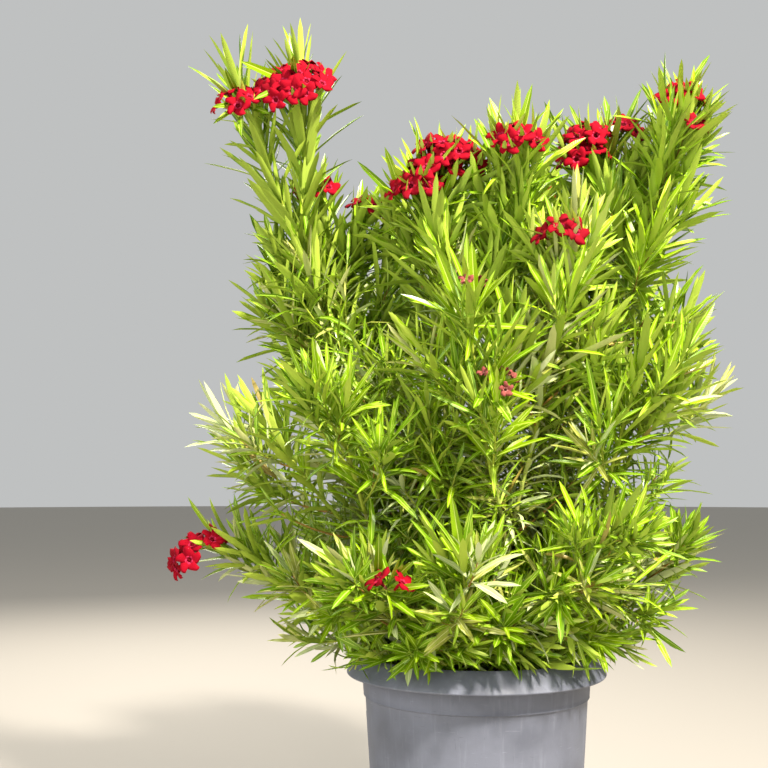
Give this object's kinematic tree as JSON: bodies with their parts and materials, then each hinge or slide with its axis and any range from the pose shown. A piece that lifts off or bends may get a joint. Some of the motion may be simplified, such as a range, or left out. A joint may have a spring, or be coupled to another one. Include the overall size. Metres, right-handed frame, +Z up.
{
  "type": "potted oleander",
  "caption": "Flowering evergreen shrub with a clump of leaning, forked canes and narrow whorled leaves, standing in a round tapered pot with a turned-over collar.",
  "frame": {"origin": "middle of the pot's flat underside, on the ground that it stands on", "axes": "+Z up, +X to the right and -Y to the front as the picture sees it"},
  "size_m": [0.974, 0.8938, 1.5909],
  "materials": {
    "pot": "blow-moulded polyethylene, sun-bleached and dusty, matt",
    "soil": "bark potting mix, dry on top, rough",
    "bark": "thin smooth bark with raised pores, grey-brown low down and green on young shoots",
    "foliage": "leathery leaves, satin above and paler beneath",
    "blossom": "thin matt petals, crimson with pink lights"
  },
  "bodies": {
    "root": {"pot": "pot", "soil": "soil", "cane_left_tall": "bark", "cane_left": "bark", "cane_left_back": "bark", "cane_centre": "bark", "cane_back": "bark", "cane_right_tall": "bark", "cane_right_back": "bark", "cane_right": "bark", "cane_front": "bark", "bough_left_tall_a": "bark", "bough_left_tall_b": "bark", "bough_left_a": "bark", "bough_left_b": "bark", "bough_left_back_a": "bark", "bough_left_back_b": "bark", "bough_centre_a": "bark", "bough_centre_b": "bark", "bough_back_a": "bark", "bough_back_b": "bark", "bough_right_tall_a": "bark", "bough_right_tall_b": "bark", "bough_right_back_a": "bark", "bough_right_back_b": "bark", "bough_right_a": "bark", "bough_right_b": "bark", "bough_front_a": "bark", "bough_front_b": "bark", "leaves_left_tall_a": "foliage", "leaves_left_tall_b": "foliage", "leaves_left_a": "foliage", "leaves_left_b": "foliage", "leaves_left_back_a": "foliage", "leaves_left_back_b": "foliage", "leaves_centre_a": "foliage", "leaves_centre_b": "foliage", "leaves_back_a": "foliage", "leaves_back_b": "foliage", "leaves_right_tall_a": "foliage", "leaves_right_tall_b": "foliage", "leaves_right_back_a": "foliage", "leaves_right_back_b": "foliage", "leaves_right_a": "foliage", "leaves_right_b": "foliage", "leaves_front_a": "foliage", "leaves_front_b": "foliage", "leaves_skirt_left": "foliage", "leaves_skirt_left_front": "foliage", "leaves_skirt_front": "foliage", "leaves_skirt_front_right": "foliage", "leaves_skirt_right": "foliage", "leaves_skirt_right_back": "foliage", "leaves_skirt_back": "foliage", "leaves_skirt_left_back": "foliage", "leaves_middle_front": "foliage", "leaves_middle_left": "foliage", "leaves_upper_left": "foliage", "leaves_middle_right": "foliage", "leaves_middle_back": "foliage"}
  },
  "joints": []
}
